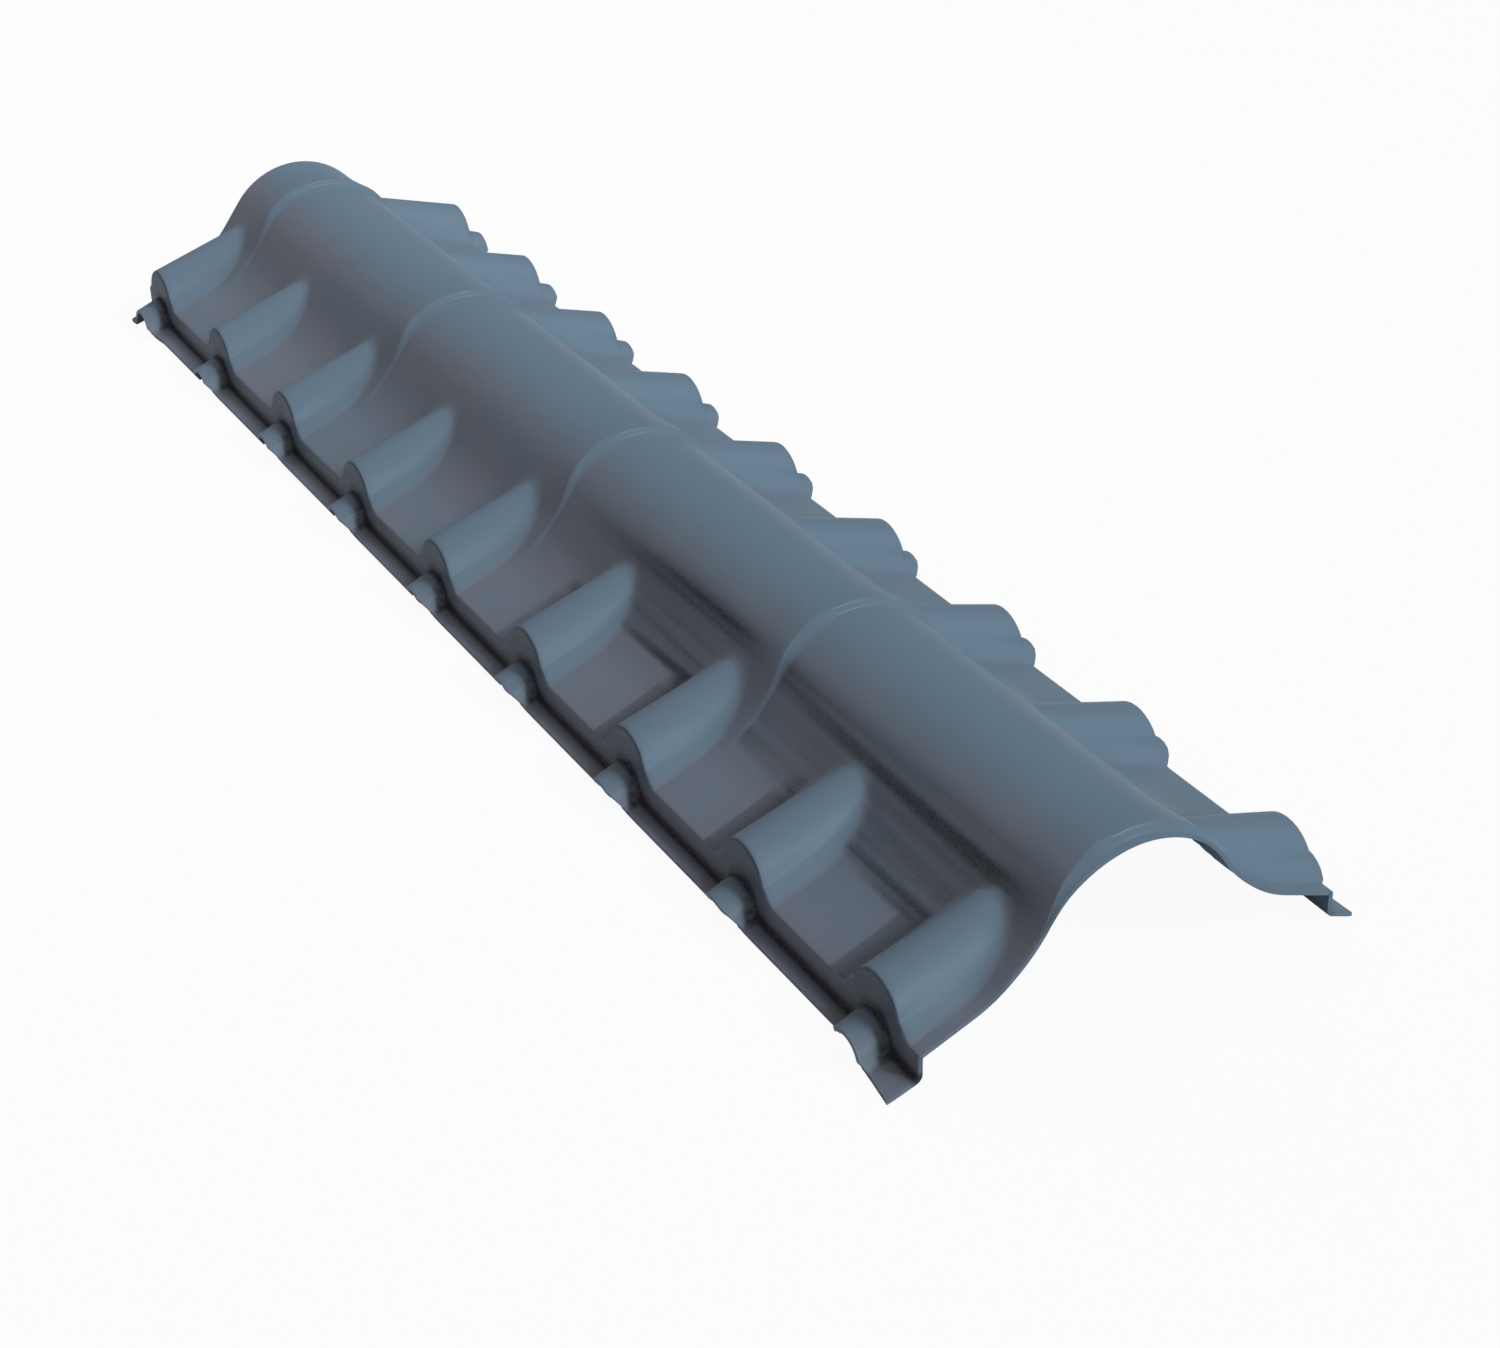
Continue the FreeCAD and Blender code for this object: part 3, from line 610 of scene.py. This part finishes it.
def sheet_mesh(s):
    """A closed shell: the top grid, the same grid moved in by the wall along its normals, and the cut edges
    that join them all round. Its points carry the shares of painted shade, of painted shade tint and of
    shade streaks that the plastic reads."""
    top = sheet_grid(s)
    under = top - s.wall * grid_normals(top)
    under[[0, -1], :, 0] = top[[0, -1], :, 0]
    under[:, [0, -1], 1] = top[:, [0, -1], 1]
    rows, columns = top.shape[:2]
    count = rows * columns
    faces = [grid_faces(rows, columns), grid_faces(rows, columns, count)[:, ::-1]]
    number = np.arange(count).reshape(rows, columns)
    rims = ((number[0], False), (number[-1], True), (number[:, 0], True), (number[:, -1], False))
    for line, turned in rims:
        strip = strip_faces(line, line + count)
        faces.append(strip[:, ::-1] if turned else strip)
    mesh = bpy.data.meshes.new(NODE)
    mesh.from_pydata(np.concatenate([top, under]).reshape(-1, 3), [], np.concatenate(faces).tolist())
    mesh.update()
    # the shares of painted shade, of painted shade tint and of shade streaks, on both sides of the wall
    for name, share in (("painted_shade", painted_shade_share(s, top)), ("low", shade_tint_share(s, top)),
                        ("shade_streaks", shade_streak_share(s, top))):
        values = mesh.attributes.new(name, "FLOAT", "POINT")
        values.data.foreach_set("value", np.tile(share.ravel(), 2))
    mesh.shade_smooth()
    mesh.set_sharp_from_angle(angle=math.radians(50))
    return mesh


def add_node(tree, kind, settings=None, **links):
    """Adds a shader node with its settings, and feeds its inputs from values or other nodes' outputs."""
    node = tree.nodes.new(kind)
    for name, value in (settings or {}).items():
        setattr(node, name, value)
    for name, value in links.items():
        socket = node.inputs[int(name[1:])] if name[1:].isdigit() else node.inputs[name.replace("_", " ")]
        if isinstance(value, bpy.types.NodeSocket):
            tree.links.new(value, socket)
        else:
            socket.default_value = value
    return node


def colour(value):
    """A colour with full opacity, for a shader socket."""
    return (*value, 1.0)


def moulded_plastic(colours):
    """Rigid PVC, coloured right through, then heated and formed over a tool. It is satin, with a faint
    orange peel about 2 mm wide. Flanks and wings carry a painted shade tint, greyer where they turn from the
    keys, laid in slow random clouds. Painted shade, nearly black, lies in the hollows, creases, lip and
    strips where shade falls, broken into streaks along the flare. A fine random grain breaks up the painted
    shade. It is drawn 1.2 mm wide, coarser than it is, so that it shows."""
    cloud_width, grain_width, peel_width = 70 * MM, 1.2 * MM, 2.2 * MM
    # a third of a metre long and about 5 mm wide, and the same at every height
    streaks_per_metre = (3.0, 190.0, 0.0)
    material = bpy.data.materials.new("moulded_pvc_satin")
    material.use_nodes = True
    tree = material.node_tree
    tree.nodes.clear()
    place = add_node(tree, "ShaderNodeTexCoord").outputs["Object"]
    shade_streaks = add_node(tree, "ShaderNodeMapping", Vector=place, Scale=streaks_per_metre).outputs[0]
    # shares of painted shade, of painted shade tint and of shade streaks, read from the mesh
    painted_shade = add_node(tree, "ShaderNodeAttribute", {"attribute_name": "painted_shade"}).outputs["Fac"]
    low = add_node(tree, "ShaderNodeAttribute", {"attribute_name": "low"}).outputs["Fac"]
    streaky = add_node(tree, "ShaderNodeAttribute", {"attribute_name": "shade_streaks"}).outputs["Fac"]
    tone = add_node(tree, "ShaderNodeTexNoise", Vector=place, Scale=1 / cloud_width, Detail=2.0)
    streak = add_node(tree, "ShaderNodeTexNoise", Vector=shade_streaks, Scale=1.0, Detail=1.0)
    grain = add_node(tree, "ShaderNodeTexNoise", Vector=place, Scale=1 / grain_width, Detail=2.0)
    peel = add_node(tree, "ShaderNodeTexNoise", Vector=place, Scale=1 / peel_width, Detail=1.0)
    # the painted shade tint, laid in random clouds
    cloud = add_node(tree, "ShaderNodeMapRange", Value=tone.outputs[0], From_Min=0.35, From_Max=0.65,
                     To_Min=0.5, To_Max=0.85)
    clouded_tint = add_node(tree, "ShaderNodeMath", {"operation": "MULTIPLY"}, i0=low, i1=cloud.outputs[0])
    body = add_node(tree, "ShaderNodeMix", {"data_type": "RGBA"}, i0=clouded_tint.outputs[0],
                    i6=colour(colours.plastic), i7=colour(colours.shade_tint))
    # streaks and grain that break up the painted shade
    lines = add_node(tree, "ShaderNodeMapRange", Value=streak.outputs[0], From_Min=0.35, From_Max=0.65,
                     To_Min=-0.5, To_Max=0.6)
    streaks = add_node(tree, "ShaderNodeMath", {"operation": "MULTIPLY_ADD"}, i0=lines.outputs[0],
                       i1=streaky, i2=1.0)
    speck = add_node(tree, "ShaderNodeMapRange", Value=grain.outputs[0], From_Min=0.3, From_Max=0.7,
                     To_Min=0.8, To_Max=1.2)
    mottle = add_node(tree, "ShaderNodeMath", {"operation": "MULTIPLY"}, i0=streaks.outputs[0],
                      i1=speck.outputs[0])
    share = add_node(tree, "ShaderNodeMath", {"operation": "MULTIPLY", "use_clamp": True},
                     i0=painted_shade, i1=mottle.outputs[0])
    base = add_node(tree, "ShaderNodeMix", {"data_type": "RGBA"}, i0=share.outputs[0],
                    i6=body.outputs[2], i7=colour(colours.painted_shade))
    # satin that varies a little, and the orange peel
    rough = add_node(tree, "ShaderNodeMapRange", Value=tone.outputs[0], From_Min=0.3, From_Max=0.7,
                     To_Min=0.42, To_Max=0.5)
    bump = add_node(tree, "ShaderNodeBump", Strength=0.25, Distance=0.05 * MM, Height=peel.outputs[0])
    shader = add_node(tree, "ShaderNodeBsdfPrincipled", Base_Color=base.outputs[2], IOR=1.5,
                      Roughness=rough.outputs[0], Specular_IOR_Level=0.4, Normal=bump.outputs[0])
    add_node(tree, "ShaderNodeOutputMaterial", Surface=shader.outputs[0])
    return material


class RIDGECAP_OT_sheet(bpy.types.Operator):
    """Builds the moulded sheet of the cap"""
    bl_idname = "ridgecap.sheet"
    bl_label = "Moulded sheet"

    def execute(self, context):
        mesh = sheet_mesh(context.scene.ridge_cap_sizes)
        mesh.materials.append(moulded_plastic(context.scene.ridge_cap_colours))
        sheet = bpy.data.objects.new("ridge_cap_sheet", mesh)
        context.scene.collection.objects.link(sheet)
        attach(sheet, "root")
        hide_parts(NODE)
        return {"FINISHED"}


# Share of the floor that the camera sees as plain white, so that a faint shadow is left
WHITE_SHARE = 0.95
FLOOR_HALF = 30.0


def pale_floor(colours):
    """Matt painted studio floor. The camera sees it mostly as an even white, with a faint shadow."""
    material = bpy.data.materials.new("matt_studio_floor")
    material.use_nodes = True
    tree = material.node_tree
    tree.nodes.clear()
    paint_film = add_node(tree, "ShaderNodeBsdfDiffuse", Color=colour(colours.floor))
    white = add_node(tree, "ShaderNodeEmission", Color=(1.0, 1.0, 1.0, 1.0), Strength=1.0)
    path = add_node(tree, "ShaderNodeLightPath")
    seen = add_node(tree, "ShaderNodeMath", {"operation": "MULTIPLY"}, i0=path.outputs["Is Camera Ray"],
                    i1=WHITE_SHARE)
    mixed = add_node(tree, "ShaderNodeMixShader", i0=seen.outputs[0], i1=paint_film.outputs[0],
                     i2=white.outputs[0])
    add_node(tree, "ShaderNodeOutputMaterial", Surface=mixed.outputs[0])
    return material


def studio_air(scene):
    """Even studio light all round, and plain white where the camera sees past the floor."""
    world = bpy.data.worlds.new("studio")
    world.use_nodes = True
    tree = world.node_tree
    tree.nodes.clear()
    path = add_node(tree, "ShaderNodeLightPath")
    fill = add_node(tree, "ShaderNodeBackground", Color=(1.0, 0.95, 0.94, 1.0), Strength=0.08)
    white = add_node(tree, "ShaderNodeBackground", Color=(1.0, 1.0, 1.0, 1.0), Strength=1.0)
    mixed = add_node(tree, "ShaderNodeMixShader", i0=path.outputs["Is Camera Ray"], i1=fill.outputs[0],
                     i2=white.outputs[0])
    add_node(tree, "ShaderNodeOutputWorld", Surface=mixed.outputs[0])
    scene.world = world


def add_sun(scene, name, strength, tint, azimuth, elevation, spread, gloss=True):
    """A far softbox, whose light comes from an azimuth and elevation in degrees with a spread in degrees."""
    light = bpy.data.lights.new(name, "SUN")
    light.energy = strength
    light.color = tint
    light.angle = math.radians(spread)
    lamp = bpy.data.objects.new(name, light)
    lamp.rotation_euler = Euler((math.radians(90 - elevation), 0.0, math.radians(azimuth + 90)))
    lamp.visible_glossy = gloss
    scene.collection.objects.link(lamp)


def add_lamp(scene, name, watts, tint, place, width):
    """A round softbox near the cap, turned to the middle of the floor, which shows in no reflection."""
    light = bpy.data.lights.new(name, "AREA")
    light.shape = "DISK"
    light.size = width
    light.energy = watts
    light.color = tint
    lamp = bpy.data.objects.new(name, light)
    lamp.location = place
    lamp.rotation_euler = Vector(place).to_track_quat("Z", "Y").to_euler()
    lamp.visible_camera = False
    lamp.visible_glossy = False
    scene.collection.objects.link(lamp)


class RIDGECAP_OT_stage(bpy.types.Operator):
    """Lays the floor, and sets the lights and the camera"""
    bl_idname = "ridgecap.stage"
    bl_label = "Floor, lights and camera"

    def execute(self, context):
        scene = context.scene
        scene.view_settings.view_transform = "Standard"
        half = FLOOR_HALF
        mesh = bpy.data.meshes.new("floor")
        mesh.from_pydata([(-half, -half, 0), (half, -half, 0), (half, half, 0), (-half, half, 0)], [],
                         [(0, 1, 2, 3)])
        mesh.materials.append(pale_floor(scene.ridge_cap_colours))
        floor = bpy.data.objects.new("floor", mesh)
        scene.collection.objects.link(floor)
        studio_air(scene)

        add_sun(scene, "high_key", strength=0.8, tint=(0.98, 0.98, 0.98), azimuth=60, elevation=60,
                spread=16)
        add_sun(scene, "low_key", strength=1.35, tint=(0.86, 1.0, 1.03), azimuth=30, elevation=38,
                spread=10)
        add_sun(scene, "front_fill", strength=0.45, tint=(0.85, 1.0, 1.06), azimuth=0, elevation=22,
                spread=20)
        add_sun(scene, "back_fill", strength=0.45, tint=(1.0, 1.0, 1.0), azimuth=135, elevation=55,
                spread=20, gloss=False)
        add_sun(scene, "left_fill", strength=0.36, tint=(1.0, 0.62, 0.52), azimuth=-100, elevation=48,
                spread=40, gloss=False)
        add_lamp(scene, "far_lamp", watts=1.4, tint=(1.0, 1.0, 1.0), place=(-0.7, 0.1, 0.8), width=0.5)
        add_lamp(scene, "side_lamp", watts=1.2, tint=(1.06, 1.0, 0.95), place=(-1.6, -0.5, 0.5), width=0.8)

        view = bpy.data.cameras.new("camera")
        view.sensor_width = 36.0
        view.lens = 64.297
        view.clip_end = 100.0
        camera = bpy.data.objects.new("camera", view)
        camera.location = (1.28098, -0.62403, 0.77597)
        camera.rotation_euler = Euler([math.radians(a) for a in (58.8312, 1.4908, 60.0808)])
        scene.collection.objects.link(camera)
        scene.camera = camera
        return {"FINISHED"}


class RIDGECAP_PT_panel(bpy.types.Panel):
    """Lists the sizes, the colours and the building steps"""
    bl_idname = "RIDGECAP_PT_panel"
    bl_label = "Roof ridge cap"
    bl_space_type = "VIEW_3D"
    bl_region_type = "UI"
    bl_category = "Ridge cap"

    def draw(self, context):
        for group in (context.scene.ridge_cap_sizes, context.scene.ridge_cap_colours):
            for name in group.__annotations__:
                self.layout.prop(group, name)
        for step in (RIDGECAP_OT_sheet, RIDGECAP_OT_stage):
            self.layout.operator(step.bl_idname)


CLASSES = (CapSizes, CapColours, RIDGECAP_OT_sheet, RIDGECAP_OT_stage, RIDGECAP_PT_panel)


def register():
    for item in CLASSES:
        bpy.utils.register_class(item)
    bpy.types.Scene.ridge_cap_sizes = bpy.props.PointerProperty(type=CapSizes)
    bpy.types.Scene.ridge_cap_colours = bpy.props.PointerProperty(type=CapColours)


def unregister():
    del bpy.types.Scene.ridge_cap_colours
    del bpy.types.Scene.ridge_cap_sizes
    for item in reversed(CLASSES):
        bpy.utils.unregister_class(item)


def main():
    register()
    bpy.ops.ridgecap.stage()
    bpy.ops.ridgecap.sheet()


if __name__ == "__main__":
    main()
